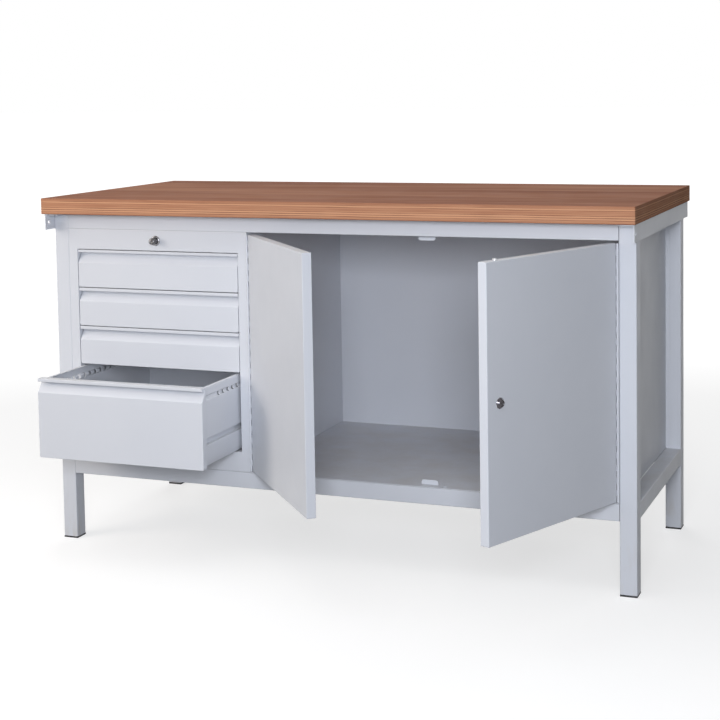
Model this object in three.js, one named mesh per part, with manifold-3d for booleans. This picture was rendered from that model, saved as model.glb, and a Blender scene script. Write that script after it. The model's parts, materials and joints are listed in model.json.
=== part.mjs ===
// Workbench with a drawer block and a two-door cupboard. Millimetres, +Z up, front towards -Y.
import * as THREE from 'three';
import { mergeVertices } from 'three/addons/utils/BufferGeometryUtils.js';
import Module from 'manifold-3d';

const wasm = await Module();
wasm.setup();

// Worktop, and how far it stands out past the frame
const benchHeight = 880;
const worktopWidth = 1500;
const worktopDepth = 700;
const worktopThickness = 40;
const endOverhang = 4;
const edgeOverhang = 50;

// Welded tube frame
const tubeSize = 40;
const tubeWall = 2;
const tubeCorner = 3;
const footThickness = 4;
const footPlugHeight = 20;

// Angle rails under the worktop, with a drilled tab past each leg
const angleThickness = 3;
const angleHeight = 40;
const angleWidth = 35;
const tabReach = 40;
const tabHoleRadius = 4.5;
const tabHoleInset = 14;

// Sheet metal panels
const panelSheet = 1.2;
const floorSheet = 1.5;
const panelFlange = 12;
const backInset = 3;

// Drawer block
const blockWidth = 498;
const bezelDepth = 25;
const bezelSheet = 1.5;
const bezelSide = 24;
const bezelTop = 50;
const bezelBottom = 47;
const drawerUnitHeight = 98;
const openDrawerReach = 200;
const drawers = [
  { units: 1, pulledOut: 0 },
  { units: 1, pulledOut: 0 },
  { units: 1, pulledOut: 0 },
  { units: 2, pulledOut: openDrawerReach },
];

// Drawer fronts, with a grip folded in under the top lip
const frontSheet = 1.2;
const frontGap = 2;
const lipThickness = 3;
const lipHeight = 8;
const gripDepth = 16;
const gripWall = 4;
const gripPocket = 9;
const gripSlope = 22;

// Drawer trays and the rails they run on
const traySheet = 1.2;
const trayInset = 5;
const trayRise = 3;
const trayTopDrop = 3;
const trayRim = 8;
const trayRearRoom = 60;
const trayToe = 5;
const trayToeRise = 16;
const grooveRise = 51;
const grooveHeight = 15;
const grooveDepth = 11;
const dividerDrop = 19;
const dividerHeight = 12;
const dividerDepth = 4;
const dividerSlope = 3;
const railThickness = 2.5;
const railFlange = 28;
const railTipGap = 2;
const railTail = 10;

// Doors
const doorSheet = 1.2;
const doorThickness = 22;
const doorReturn = 18;
const doorGapTop = 5;
const doorGapBottom = 2.5;
const doorMeetingGap = 2;
const leftDoorAngle = THREE.MathUtils.degToRad(49.5);
const rightDoorAngle = THREE.MathUtils.degToRad(67.5);
const stopWidth = 42;
const stopHeight = 11;
const stopThickness = 2;
const stopCorner = 6;
const stopGap = 0.5;

// Piano hinges
const leafThickness = 1;
const leafGap = 1;
const leafWidth = 18;
const pinRadius = 1.25;
const pinClearance = 0.4;
const knuckleLength = 14.1;
const knuckleClearance = 0.3;

// Door lock with its two locking rods
const lockInset = 40;
const rosetteRadius = 12;
const rosetteThickness = 5;
const barrelRadius = 9.5;
const barrelLength = 22;
const plugRadius = 6;
const plugRecess = 0.6;
const spigotRadius = 3.5;
const spigotStub = 1;
const camThickness = 2.5;
const camWidth = 12;
const keyWidth = 1.6;
const keyHeight = 6;
const keyDepth = 5;
const rodRadius = 5;
const rodPassGap = 1;
const rodSideGap = 1;
const rodEyeHeight = 16;
const rodBendRise = 40;
const rodHoleRoom = 1.5;
const guideWall = 3.5;
const guideHeight = 14;

// Push lock of the drawer block
const pushRosetteRadius = 12.5;
const pushRosetteThickness = 3;
const pushBarrelRadius = 10.5;
const pushBarrelLength = 22;
const pushPlugRadius = 8;
const pushPlugReach = 22;
const pushPlugTail = 4;
const pushTravel = 12;
const plugChamfer = 0.8;

// Clearances and the fineness of round shapes
const seat = 0.3;
const cutMargin = 1;
const cornerSteps = 1;
const arcSteps = 3;
const hingeSides = 8;
const roundSides = 16;

// Levels, from the worktop down
const worktopBottom = benchHeight - worktopThickness;
const upperRailTop = worktopBottom - seat;
const upperRailBottom = upperRailTop - tubeSize;
const blockTop = upperRailBottom - seat;
const openingTop = blockTop - bezelTop;
const unitCount = drawers.reduce((sum, drawer) => sum + drawer.units, 0);
const openingBottom = openingTop - unitCount * drawerUnitHeight;
const blockBottom = openingBottom - bezelBottom;
const floorTop = blockBottom - seat;
const lowerRailTop = floorTop - floorSheet - seat;
const legTop = upperRailTop - angleThickness - seat;
const legBottom = footThickness + seat;

// Places across the bench, from the ends inwards, and from front to back
const angleOuter = worktopWidth / 2 - endOverhang;
const legOuter = angleOuter - angleThickness - seat;
const legMiddle = legOuter - tubeSize / 2;
const legInner = legOuter - tubeSize;
const rear = worktopDepth / 2 - edgeOverhang;
const front = -rear;
const tubeMiddle = rear - tubeSize / 2;
const betweenLegs = rear - tubeSize - seat;
const panelWidth = legInner - seat;
const backFront = rear - backInset - panelSheet;
const blockLeft = -panelWidth;
const blockRight = blockLeft + blockWidth;
const blockMiddle = (blockLeft + blockRight) / 2;
const openingWidth = blockWidth - 2 * bezelSide;
const pushLevel = openingTop + bezelTop / 2;

// Hinge and door sizes that follow from the opening
const hingeGap = 2 * (seat + leafThickness) + leafGap;
const hingeBore = pinRadius + pinClearance;
const knuckleRadius = hingeBore + leafThickness;
const hingeForward = knuckleRadius + knuckleClearance;
const leftHingeX = blockRight + hingeGap / 2;
const rightHingeX = legInner - hingeGap / 2;
const doorWidth = (legInner - blockRight - 2 * hingeGap - doorMeetingGap) / 2;
const doorBottom = floorTop + doorGapBottom;
const doorTop = upperRailBottom - doorGapTop;
const doorHeight = doorTop - doorBottom;
const doorNear = hingeGap / 2;
const doorFar = doorNear + doorWidth;
const meetingX = (blockRight + legInner) / 2;

// Lock and rod places, measured along the door from its hinge and back from its outer face
const lockAlong = doorFar - lockInset;
const lockLevel = (doorBottom + doorTop) / 2;
const crank = barrelRadius + rodRadius + rodSideGap;
const rodDepth = doorThickness / 2;
const rodHole = rodRadius + seat;
const camFront = barrelLength + seat;

const paint = new THREE.MeshStandardMaterial({ color: 0xd0d3da, roughness: 0.45, metalness: 0.1 });
const zinc = new THREE.MeshStandardMaterial({ color: 0xb9bcc0, roughness: 0.4, metalness: 0.8 });
const chrome = new THREE.MeshStandardMaterial({ color: 0xc8c9cc, roughness: 0.18, metalness: 1 });
const plywood = new THREE.MeshStandardMaterial({ color: 0xa9795a, roughness: 0.55, metalness: 0 });
const blackPlastic = new THREE.MeshStandardMaterial({ color: 0x1d1e20, roughness: 0.6, metalness: 0 });

const bench = new THREE.Group();

// Adds a named sub-part to a group.
function piece(parent, name, geometry, material) {
  const mesh = new THREE.Mesh(geometry, material);
  mesh.name = name;
  parent.add(mesh);
  return mesh;
}

// A closed geometry as a solid that can be cut and joined.
function solid(geometry) {
  const bare = geometry.clone();
  bare.deleteAttribute('normal');
  bare.deleteAttribute('uv');
  const merged = mergeVertices(bare);
  const vertProperties = new Float32Array(merged.attributes.position.array);
  const triVerts = new Uint32Array(merged.index.array);
  return new wasm.Manifold(new wasm.Mesh({ numProp: 3, vertProperties, triVerts }));
}

// The surface of a solid as a geometry.
function surface(body) {
  const mesh = body.getMesh();
  const geometry = new THREE.BufferGeometry();
  geometry.setAttribute('position', new THREE.BufferAttribute(mesh.vertProperties, 3));
  geometry.setIndex(new THREE.BufferAttribute(mesh.triVerts, 1));
  geometry.computeVertexNormals();
  return geometry;
}

function cut(geometry, ...cutters) {
  const body = cutters.reduce((left, cutter) => left.subtract(solid(cutter)), solid(geometry));
  return surface(body);
}

function join(geometry, ...others) {
  const body = others.reduce((whole, other) => whole.add(solid(other)), solid(geometry));
  return surface(body);
}

// A box between two opposite corners, given in any order.
function block(a, b) {
  const box = new THREE.Box3().setFromPoints([new THREE.Vector3(...a), new THREE.Vector3(...b)]);
  const size = box.getSize(new THREE.Vector3());
  const middle = box.getCenter(new THREE.Vector3());
  return new THREE.BoxGeometry(size.x, size.y, size.z).translate(middle.x, middle.y, middle.z);
}

function outline(points) {
  return new THREE.Shape(points.map(([a, b]) => new THREE.Vector2(a, b)));
}

// How an outline lies when it is pulled along an axis: for x it is drawn in y and z, for y in x and z.
const unitX = new THREE.Vector3(1, 0, 0);
const unitY = new THREE.Vector3(0, 1, 0);
const unitZ = new THREE.Vector3(0, 0, 1);
const lay = {
  x: new THREE.Matrix4().makeBasis(unitY, unitZ, unitX),
  y: new THREE.Matrix4().makeBasis(unitX, unitZ, unitY.clone().negate()),
  z: new THREE.Matrix4(),
};

// An outline pulled along an axis from one place to another.
function prism(shape, axis, from, to, curveSegments = arcSteps) {
  const options = { depth: to - from, bevelEnabled: false, curveSegments };
  const geometry = new THREE.ExtrudeGeometry(shape, options).applyMatrix4(lay[axis]);
  const start = { x: [from, 0, 0], y: [0, to, 0], z: [0, 0, from] }[axis];
  return geometry.translate(...start);
}

// A regular polygon whose corners lie on the circle, or whose flats do when it is a hole.
function roundOutline(x, y, radius, sides, isHole = false) {
  const reach = isHole ? radius / Math.cos(Math.PI / sides) : radius;
  const turns = Array.from({ length: sides }, (_, i) => (2 * Math.PI * (i + 0.5)) / sides);
  return outline(turns.map((turn) => [x + reach * Math.cos(turn), y + reach * Math.sin(turn)]));
}

// Square tube with rounded outer edges, open at both ends.
function squareTube(axis, [a, b], from, to) {
  const straight = tubeSize / 2 - tubeCorner;
  const bore = tubeSize / 2 - tubeWall;
  const shape = new THREE.Shape();
  const corners = [[1, 1], [-1, 1], [-1, -1], [1, -1]];
  corners.forEach(([right, up], quarter) => {
    const turn = (quarter * Math.PI) / 2;
    shape.absarc(a + right * straight, b + up * straight, tubeCorner, turn, turn + Math.PI / 2);
  });
  shape.holes.push(outline(corners.map(([right, up]) => [a + right * bore, b + up * bore])));
  return prism(shape, axis, from, to, cornerSteps);
}

// A part turned about the y axis, from pairs of radius and place along y.
function turned(profile) {
  return new THREE.LatheGeometry(profile.map(([r, y]) => new THREE.Vector2(r, y)), roundSides);
}

function addWorktop() {
  const low = [-worktopWidth / 2, -worktopDepth / 2, worktopBottom];
  const high = [worktopWidth / 2, worktopDepth / 2, worktopBottom + worktopThickness];
  piece(bench, 'worktop', block(low, high), plywood);
}

// Leg of square tube on a plastic foot that plugs into it.
function addLeg(place, side, end) {
  const at = [side * legMiddle, end * tubeMiddle];
  piece(bench, `leg_${place}`, squareTube('z', at, legBottom, legTop), paint);
  const half = tubeSize / 2;
  const plug = tubeSize / 2 - tubeWall - seat;
  const sole = block([at[0] - half, at[1] - half, 0], [at[0] + half, at[1] + half, footThickness]);
  const plugTop = footThickness + footPlugHeight;
  const insert = block([at[0] - plug, at[1] - plug, 0], [at[0] + plug, at[1] + plug, plugTop]);
  piece(bench, `foot_${place}`, join(sole, insert), blackPlastic);
}

// Angle rail that carries one end of the worktop, and the tube that ties the legs below.
function addEndRails(name, side) {
  const web = side * angleOuter;
  const inside = side * (angleOuter - angleThickness);
  const lip = side * (angleOuter - angleWidth);
  const shelf = upperRailTop - angleThickness;
  const foot = upperRailTop - angleHeight;
  const section = [[web, upperRailTop], [web, foot], [inside, foot],
    [inside, shelf], [lip, shelf], [lip, upperRailTop]];
  const reach = rear + tabReach;
  const holeLevel = upperRailTop - (angleHeight + angleThickness) / 2;
  const holes = [-1, 1].map((end) => {
    const hole = roundOutline(end * (reach - tabHoleInset), holeLevel, tabHoleRadius, roundSides);
    const [from, to] = [web, inside].sort((p, q) => p - q);
    return prism(hole, 'x', from - cutMargin, to + cutMargin);
  });
  const angle = prism(outline(section), 'y', -reach, reach);
  piece(bench, `upper_side_rail_${name}`, cut(angle, ...holes), paint);
  const at = [side * legMiddle, lowerRailTop - tubeSize / 2];
  piece(bench, `lower_side_rail_${name}`, squareTube('y', at, -betweenLegs, betweenLegs), paint);
}

// A hole for a locking rod where it stands when its door is shut.
function rodStrike(from, to) {
  const x = rightHingeX - lockAlong;
  const hole = roundOutline(x, front + rodDepth, rodRadius + rodHoleRoom, roundSides);
  return prism(hole, 'z', from, to);
}

function addCrossRails() {
  const lower = lowerRailTop - tubeSize / 2;
  const upper = upperRailBottom + tubeSize / 2;
  const rail = (end, level) => squareTube('x', [end * tubeMiddle, level], -panelWidth, panelWidth);
  const wallAbove = upperRailBottom + tubeWall + cutMargin;
  const upperStrike = rodStrike(upperRailBottom - cutMargin, wallAbove);
  const wallBelow = lowerRailTop - tubeWall - cutMargin;
  const lowerStrike = rodStrike(wallBelow, lowerRailTop + cutMargin);
  piece(bench, 'front_top_rail', cut(rail(-1, upper), upperStrike), paint);
  piece(bench, 'front_bottom_rail', cut(rail(-1, lower), lowerStrike), paint);
  piece(bench, 'rear_top_rail', rail(1, upper), paint);
  piece(bench, 'rear_bottom_rail', rail(1, lower), paint);
}

// Panel folded outwards along the two legs that it is fixed to.
function addSidePanel(name, side) {
  const inner = side * (legInner + seat);
  const web = side * (legInner + seat + panelSheet);
  const lip = side * (legInner + seat + panelFlange);
  const edge = betweenLegs;
  const fold = betweenLegs - panelSheet;
  const section = [[inner, -edge], [lip, -edge], [lip, -fold], [web, -fold],
    [web, fold], [lip, fold], [lip, edge], [inner, edge]];
  piece(bench, `side_panel_${name}`, prism(outline(section), 'z', lowerRailTop + seat, legTop), paint);
}

function addBackPanel() {
  const web = rear - backInset;
  const lip = web - panelFlange;
  const fold = panelWidth - panelSheet;
  const section = [[-panelWidth, web], [panelWidth, web], [panelWidth, lip], [fold, lip],
    [fold, backFront], [-fold, backFront], [-fold, lip], [-panelWidth, lip]];
  piece(bench, 'back_panel', prism(outline(section), 'z', floorTop + seat, upperRailBottom - seat), paint);
}

function addFloor() {
  const low = [-panelWidth, front + panelSheet, lowerRailTop + seat];
  const plate = block(low, [panelWidth, rear - panelSheet, floorTop]);
  const strike = rodStrike(lowerRailTop, floorTop + cutMargin);
  piece(bench, 'cupboard_floor', cut(plate, strike), paint);
}

// Wall between the drawers and the cupboard, notched round the two top rails.
function addPartition() {
  const fore = front + bezelDepth + seat;
  const aft = backFront - seat;
  const base = floorTop + seat;
  const under = upperRailBottom - seat;
  const top = worktopBottom - seat;
  const section = [[fore, base], [aft, base], [aft, under], [betweenLegs, under],
    [betweenLegs, top], [-betweenLegs, top], [-betweenLegs, under], [fore, under]];
  piece(bench, 'partition', prism(outline(section), 'x', blockRight - panelSheet, blockRight), paint);
}

// Folded frame round the drawers, with a hole for the push lock.
function addBezel() {
  const back = front + bezelDepth;
  const left = blockLeft + bezelSide;
  const right = blockRight - bezelSide;
  const window = block([left, front - cutMargin, openingBottom], [right, back + cutMargin, openingTop]);
  const inset = bezelSheet;
  const hollow = block(
    [blockLeft + inset, front + inset, blockBottom + inset],
    [blockRight - inset, back + cutMargin, blockTop - inset],
  );
  const sleeve = block(
    [left - inset, front, openingBottom - inset],
    [right + inset, back + 2 * cutMargin, openingTop + inset],
  );
  const groove = cut(hollow, sleeve);
  const lockHole = roundOutline(blockMiddle, pushLevel, pushBarrelRadius + seat, roundSides, true);
  const drill = prism(lockHole, 'y', front - cutMargin, front + inset + cutMargin);
  const slab = block([blockLeft, front, blockBottom], [blockRight, back, blockTop]);
  piece(bench, 'drawer_bezel', cut(slab, window, groove, drill), paint);
}

// Push-in cylinder that locks the drawers: a fixed barrel and a plug that stands out when open.
function addPushLock() {
  const bore = pushPlugRadius + seat;
  const face = -seat - pushRosetteThickness;
  const barrel = turned([[bore, face], [pushRosetteRadius - plugChamfer, face],
    [pushRosetteRadius, face + plugChamfer], [pushRosetteRadius, -seat], [pushBarrelRadius, -seat],
    [pushBarrelRadius, pushBarrelLength], [bore, pushBarrelLength], [bore, face]]);
  const tip = -pushPlugReach;
  const tail = pushBarrelLength - pushTravel + pushPlugTail;
  const plug = turned([[0, tip], [pushPlugRadius - plugChamfer, tip], [pushPlugRadius, tip + plugChamfer],
    [pushPlugRadius, tail], [0, tail]]);
  const lock = new THREE.Group();
  lock.position.set(blockMiddle, front, pushLevel);
  bench.add(lock);
  piece(lock, 'drawer_lock_barrel', barrel, chrome);
  piece(lock, 'drawer_lock_plug', cut(plug, keySlot(tip, false)), chrome);
}

// The slot for a key in the front face of a lock plug, upright or level.
function keySlot(face, isLevel) {
  const [across, high] = isLevel ? [keyHeight, keyWidth] : [keyWidth, keyHeight];
  return block([-across / 2, face - cutMargin, -high / 2], [across / 2, face + keyDepth, high / 2]);
}

// Folded drawer front: a flat face, a slope back into the grip, and a lip over it.
function drawerFront(base, top) {
  const half = openingWidth / 2 - frontGap;
  const depth = gripDepth + gripWall;
  const underLip = top - lipThickness;
  const slopeTop = underLip - gripPocket;
  const slopeFoot = slopeTop - gripSlope;
  const at = (d) => front + d;
  const skin = [[at(0), base], [at(depth), base], [at(depth), top], [at(0), top],
    [at(0), top - lipHeight], [at(lipThickness), top - lipHeight], [at(lipThickness), underLip],
    [at(gripDepth), underLip], [at(gripDepth), slopeTop], [at(0), slopeFoot]];
  const slant = frontSheet * Math.hypot(1, gripDepth / gripSlope);
  const hollowTop = slopeFoot + (frontSheet - slant) * (gripSlope / gripDepth);
  const open = at(depth + cutMargin);
  const hollow = [[at(frontSheet), base + frontSheet], [open, base + frontSheet], [open, slopeTop],
    [at(gripDepth + slant), slopeTop], [at(frontSheet), hollowTop]];
  const shell = prism(outline(skin), 'x', blockMiddle - half, blockMiddle + half);
  const room = half - frontSheet;
  return cut(shell, prism(outline(hollow), 'x', blockMiddle - room, blockMiddle + room));
}

// Tray folded from sheet: a slanted toe, a groove for the rail along each side and a rim along the top.
// A tall tray also has a shallow groove near the rim, where dividers hook in.
function drawerTray(base, top, hasDividers) {
  const half = openingWidth / 2 - frontGap - trayInset;
  const t = traySheet;
  const dent = (low, high, depth, slope, inset) => [
    [half - inset, low - inset], [half - depth - inset, low + slope - inset],
    [half - depth - inset, high - slope + inset], [half - inset, high + inset],
  ];
  const grooveTop = base + grooveRise + grooveHeight;
  const dividerTop = top - dividerDrop;
  const dividerLow = dividerTop - dividerHeight;
  const rightLine = (inset) => [
    [half - trayToe - inset, base + inset],
    [half - inset, base + trayToeRise],
    ...dent(base + grooveRise, grooveTop, grooveDepth, 0, inset),
    ...(hasDividers ? dent(dividerLow, dividerTop, dividerDepth, dividerSlope, inset) : []),
    [half - inset, top - inset],
  ];
  const mirrored = (line) => line.map(([x, z]) => [-x, z]).reverse();
  const placed = (line) => outline(line.map(([x, z]) => [blockMiddle + x, z]));
  const rim = [[half - trayRim, top], [half - trayRim, top - t]];
  const rightSide = [...rightLine(0), ...rim, ...rightLine(t).reverse()];
  const shell = placed([...rightSide, ...mirrored(rightSide)]);
  const wall = placed([...rightLine(t / 2), ...mirrored(rightLine(t / 2))]);
  const from = front + gripDepth + gripWall + seat;
  const to = rear - trayRearRoom;
  const ends = [from, to - t].map((y) => prism(wall, 'y', y, y + t));
  return join(prism(shell, 'y', from, to), ...ends);
}

// Rail fixed beside a tray: an upright flange on the wall and a tongue that the groove rides on.
function drawerRail(side, trayBase) {
  const wall = side < 0 ? blockLeft : blockRight - panelSheet - seat;
  const half = openingWidth / 2 - frontGap - trayInset;
  const tip = blockMiddle + side * (half - grooveDepth + railTipGap);
  const web = wall - side * railThickness;
  const tongueTop = trayBase + grooveRise + grooveHeight - seat;
  const tongueBottom = tongueTop - railThickness;
  const head = tongueBottom + railFlange;
  const section = [[wall, tongueBottom], [tip, tongueBottom], [tip, tongueTop],
    [web, tongueTop], [web, head], [wall, head]];
  return prism(outline(section), 'y', -betweenLegs, rear - trayRearRoom + railTail);
}

// Four drawers from the top down, each on two rails.
function addDrawers() {
  let ceiling = openingTop;
  drawers.forEach(({ units, pulledOut }, index) => {
    const name = `drawer_${index + 1}`;
    const floor = ceiling - units * drawerUnitHeight;
    const base = floor + frontGap / 2;
    const top = ceiling - frontGap / 2;
    const trayBase = base + trayRise;
    const drawer = new THREE.Group();
    drawer.position.y = -pulledOut;
    bench.add(drawer);
    piece(drawer, `${name}_front`, drawerFront(base, top), paint);
    piece(drawer, `${name}_tray`, drawerTray(trayBase, top - trayTopDrop, units > 1), paint);
    piece(bench, `${name}_rail_left`, drawerRail(-1, trayBase), zinc);
    piece(bench, `${name}_rail_right`, drawerRail(1, trayBase), zinc);
    ceiling = floor;
  });
}

// One leaf of a piano hinge, with every second knuckle; side is the way the leaf lies off the pin.
function hingeLeaf(side, firstKnuckle) {
  const pairs = Math.round((doorHeight / knuckleLength - 1) / 2);
  const count = 2 * pairs + 1;
  const pitch = doorHeight / count;
  const near = side * (leafGap / 2);
  const far = side * (leafGap / 2 + leafThickness);
  const plate = block([near, hingeForward, doorBottom], [far, hingeForward + leafWidth, doorTop]);
  const ring = roundOutline(0, 0, knuckleRadius, hingeSides);
  ring.holes.push(roundOutline(0, 0, hingeBore, hingeSides, true));
  const neckStart = hingeBore / Math.cos(Math.PI / hingeSides);
  const knuckles = [];
  for (let i = firstKnuckle; i < count; i += 2) {
    const low = doorBottom + i * pitch + knuckleClearance / 2;
    const high = doorBottom + (i + 1) * pitch - knuckleClearance / 2;
    knuckles.push(prism(ring, 'z', low, high));
    knuckles.push(block([near, neckStart, low], [far, hingeForward + leafThickness, high]));
  }
  return join(plate, ...knuckles);
}

// The fixed leaf and the pin of a piano hinge; side is the way the door lies off the pin.
function addHinge(name, hingeX, side) {
  const hinge = new THREE.Group();
  hinge.position.set(hingeX, front - hingeForward, 0);
  bench.add(hinge);
  piece(hinge, `hinge_${name}_frame_leaf`, hingeLeaf(-side, 0), paint);
  const pin = prism(roundOutline(0, 0, pinRadius, hingeSides), 'z', doorBottom, doorTop);
  piece(hinge, `hinge_${name}_pin`, pin, zinc);
}

// Door folded as a shallow pan that is open at the back, in the frame of its hinge pin.
function doorPan(side, ...holes) {
  const face = hingeForward;
  const back = face + doorThickness;
  const [near, far] = [side * doorNear, side * doorFar];
  const fold = side * doorSheet;
  const lip = side * doorReturn;
  const slab = block([near, face, doorBottom], [far, back, doorTop]);
  const hollow = block(
    [near + fold, face + doorSheet, doorBottom + doorSheet],
    [far - fold, back - doorSheet, doorTop - doorSheet],
  );
  const mouth = block(
    [near + lip, back - 2 * doorSheet, doorBottom + doorReturn],
    [far - lip, back + cutMargin, doorTop - doorReturn],
  );
  return cut(slab, hollow, mouth, ...holes);
}

// A door on its hinge pin, swung open to an angle.
function addDoor(name, hingeX, side, angle, ...holes) {
  const door = new THREE.Group();
  door.position.set(hingeX, front - hingeForward, 0);
  door.rotation.z = -side * angle;
  bench.add(door);
  piece(door, `door_${name}`, doorPan(side, ...holes), paint);
  piece(door, `hinge_${name}_door_leaf`, hingeLeaf(side, 1), paint);
  return door;
}

// Barrel, plug and cam of the door lock.
function addDoorLock(door) {
  const lock = new THREE.Group();
  lock.position.set(-lockAlong, hingeForward, lockLevel);
  door.add(lock);
  const bore = plugRadius + seat;
  const face = -seat - rosetteThickness;
  const barrel = turned([[bore, face], [rosetteRadius - plugChamfer, face],
    [rosetteRadius, face + plugChamfer], [rosetteRadius, -seat], [barrelRadius, -seat],
    [barrelRadius, barrelLength], [bore, barrelLength], [bore, face]]);
  piece(lock, 'door_lock_barrel', barrel, chrome);
  const camBack = camFront + camThickness;
  const plugFace = face + plugRecess;
  const plug = turned([[0, plugFace], [plugRadius, plugFace], [plugRadius, barrelLength],
    [spigotRadius, barrelLength], [spigotRadius, camBack + spigotStub], [0, camBack + spigotStub]]);
  piece(lock, 'door_lock_plug', cut(plug, keySlot(plugFace, true)), chrome);
  const shape = new THREE.Shape();
  shape.absarc(crank, 0, camWidth / 2, -Math.PI / 2, Math.PI / 2);
  shape.absarc(-crank, 0, camWidth / 2, Math.PI / 2, (3 * Math.PI) / 2);
  shape.holes.push(roundOutline(0, 0, spigotRadius + seat, roundSides, true));
  piece(lock, 'door_lock_cam', prism(shape, 'y', camFront, camBack), zinc);
}

// Locking rod in line with the lock, cranked aside to an eye in front of the cam, with its guide.
function addRod(door, name, up, tip) {
  const x = -lockAlong;
  const y = hingeForward + rodDepth;
  const eyeX = x - up * crank;
  const flat = rodRadius * Math.cos(Math.PI / roundSides);
  const bend = lockLevel + up * rodBendRise;
  const bendEnd = bend + up * 2 * flat;
  const eyeFoot = lockLevel - (up * rodEyeHeight) / 2;
  const eyeHead = lockLevel + (up * rodEyeHeight) / 2;
  const [from, to] = [bend, tip].sort((p, q) => p - q);
  const bar = prism(roundOutline(x, y, rodRadius, roundSides), 'z', from, to);
  const jog = block([eyeX - up * flat, y - flat, bend], [x + up * flat, y + flat, bendEnd]);
  const shank = block([eyeX - flat, y - flat, eyeFoot], [eyeX + flat, y + flat, bendEnd]);
  const eye = block([eyeX - flat, y, eyeFoot], [eyeX + flat, hingeForward + camFront - seat, eyeHead]);
  piece(door, `lock_rod_${name}`, join(bar, jog, shank, eye), zinc);
  const half = rodHole + guideWall;
  const level = (bend + tip) / 2;
  const skin = hingeForward + doorSheet + seat;
  const body = block([x - half, skin, level], [x + half, y + half, level + guideHeight]);
  const hole = roundOutline(x, y, rodHole, roundSides, true);
  const drill = prism(hole, 'z', level - cutMargin, level + guideHeight + cutMargin);
  piece(door, `rod_guide_${name}`, cut(body, drill), blackPlastic);
}

function addDoors() {
  addHinge('left', leftHingeX, 1);
  addHinge('right', rightHingeX, -1);
  addDoor('left', leftHingeX, 1, leftDoorAngle);
  const y = hingeForward + rodDepth;
  const rodOpening = roundOutline(-lockAlong, y, rodHole, roundSides, true);
  const barrelOpening = roundOutline(-lockAlong, lockLevel, barrelRadius + seat, roundSides, true);
  const door = addDoor(
    'right',
    rightHingeX,
    -1,
    rightDoorAngle,
    prism(barrelOpening, 'y', hingeForward - cutMargin, hingeForward + doorSheet + cutMargin),
    prism(rodOpening, 'z', doorTop - doorReturn / 2, doorTop + cutMargin),
    prism(rodOpening, 'z', doorBottom - cutMargin, doorBottom + doorReturn / 2),
  );
  addDoorLock(door);
  addRod(door, 'upper', 1, doorTop + doorGapTop - rodPassGap);
  addRod(door, 'lower', -1, doorBottom - doorGapBottom + rodPassGap);
}

// Tabs that the shut doors lie against, where the two doors meet.
function addDoorStops() {
  const y = front + doorThickness + stopGap;
  const half = stopWidth / 2;
  const straight = half - stopCorner;
  const tab = (root, away) => {
    const shape = new THREE.Shape();
    const bend = root + away * (stopHeight - stopCorner);
    const clockwise = away < 0;
    shape.moveTo(meetingX - half, root);
    shape.lineTo(meetingX + half, root);
    shape.absarc(meetingX + straight, bend, stopCorner, 0, away * Math.PI / 2, clockwise);
    shape.absarc(meetingX - straight, bend, stopCorner, away * Math.PI / 2, away * Math.PI, clockwise);
    shape.closePath();
    return prism(shape, 'y', y, y + stopThickness);
  };
  piece(bench, 'door_stop_top', tab(upperRailBottom - seat, -1), paint);
  piece(bench, 'door_stop_bottom', tab(floorTop + seat, 1), paint);
}

addWorktop();
addLeg('front_left', -1, -1);
addLeg('front_right', 1, -1);
addLeg('rear_left', -1, 1);
addLeg('rear_right', 1, 1);
addEndRails('left', -1);
addEndRails('right', 1);
addCrossRails();
addSidePanel('left', -1);
addSidePanel('right', 1);
addBackPanel();
addFloor();
addPartition();
addBezel();
addPushLock();
addDrawers();
addDoors();
addDoorStops();

// The origin is on the floor, in the middle of the box that the bench fills with its doors open.
const reach = new THREE.Box3().setFromObject(bench, true);
bench.position.y = -(reach.min.y + reach.max.y) / 2;

export default bench;
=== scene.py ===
# %% [markdown]
# # A workbench with drawers and a cupboard
# The bench is welded from square steel tube and closed in with folded sheet. A block of four drawers fills
# the left third, a cupboard with two doors fills the rest, and a thick plywood top lies over both.
# The measured model holds every piece at its real size and place. This lesson gives it its looks: paint,
# wood, zinc and chrome from nodes, and finer meshes where a folded or turned piece shows its rounding.

import json
import math
from itertools import accumulate

import bmesh
import bpy
from mathutils import Matrix, Vector


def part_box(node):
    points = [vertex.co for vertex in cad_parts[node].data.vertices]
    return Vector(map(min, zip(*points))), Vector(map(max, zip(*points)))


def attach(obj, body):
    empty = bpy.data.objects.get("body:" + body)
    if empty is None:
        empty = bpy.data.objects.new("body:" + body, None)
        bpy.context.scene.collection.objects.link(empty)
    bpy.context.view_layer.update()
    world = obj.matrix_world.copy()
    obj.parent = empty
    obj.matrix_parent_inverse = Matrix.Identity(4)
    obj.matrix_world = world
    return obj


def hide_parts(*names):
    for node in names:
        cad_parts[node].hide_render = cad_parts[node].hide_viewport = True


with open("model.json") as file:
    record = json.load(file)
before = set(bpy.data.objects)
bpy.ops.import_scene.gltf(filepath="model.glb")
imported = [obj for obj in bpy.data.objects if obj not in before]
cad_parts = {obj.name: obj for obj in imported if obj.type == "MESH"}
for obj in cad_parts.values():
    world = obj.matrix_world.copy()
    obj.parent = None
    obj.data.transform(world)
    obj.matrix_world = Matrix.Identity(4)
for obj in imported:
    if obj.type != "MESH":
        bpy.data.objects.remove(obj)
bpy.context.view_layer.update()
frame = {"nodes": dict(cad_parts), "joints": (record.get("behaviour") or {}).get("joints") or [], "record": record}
nodes = frame["nodes"]
joints = {joint["name"]: joint for joint in frame["joints"]}
scene = bpy.context.scene
MM = 0.001
QUARTER_TURN = math.pi / 2

# %% [markdown]
# ## The camera
# The photograph was taken from the front right, a little above the worktop, with a long lens. A camera could
# be set by eye, but then every piece would be judged against a slightly wrong outline. Here its place, its
# three angles and its focal length were worked out from the bench's known corners. The picture is a part cut
# from the lower half of a larger one, so the lens axis lies above its middle, and a shift puts it there.

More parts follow.
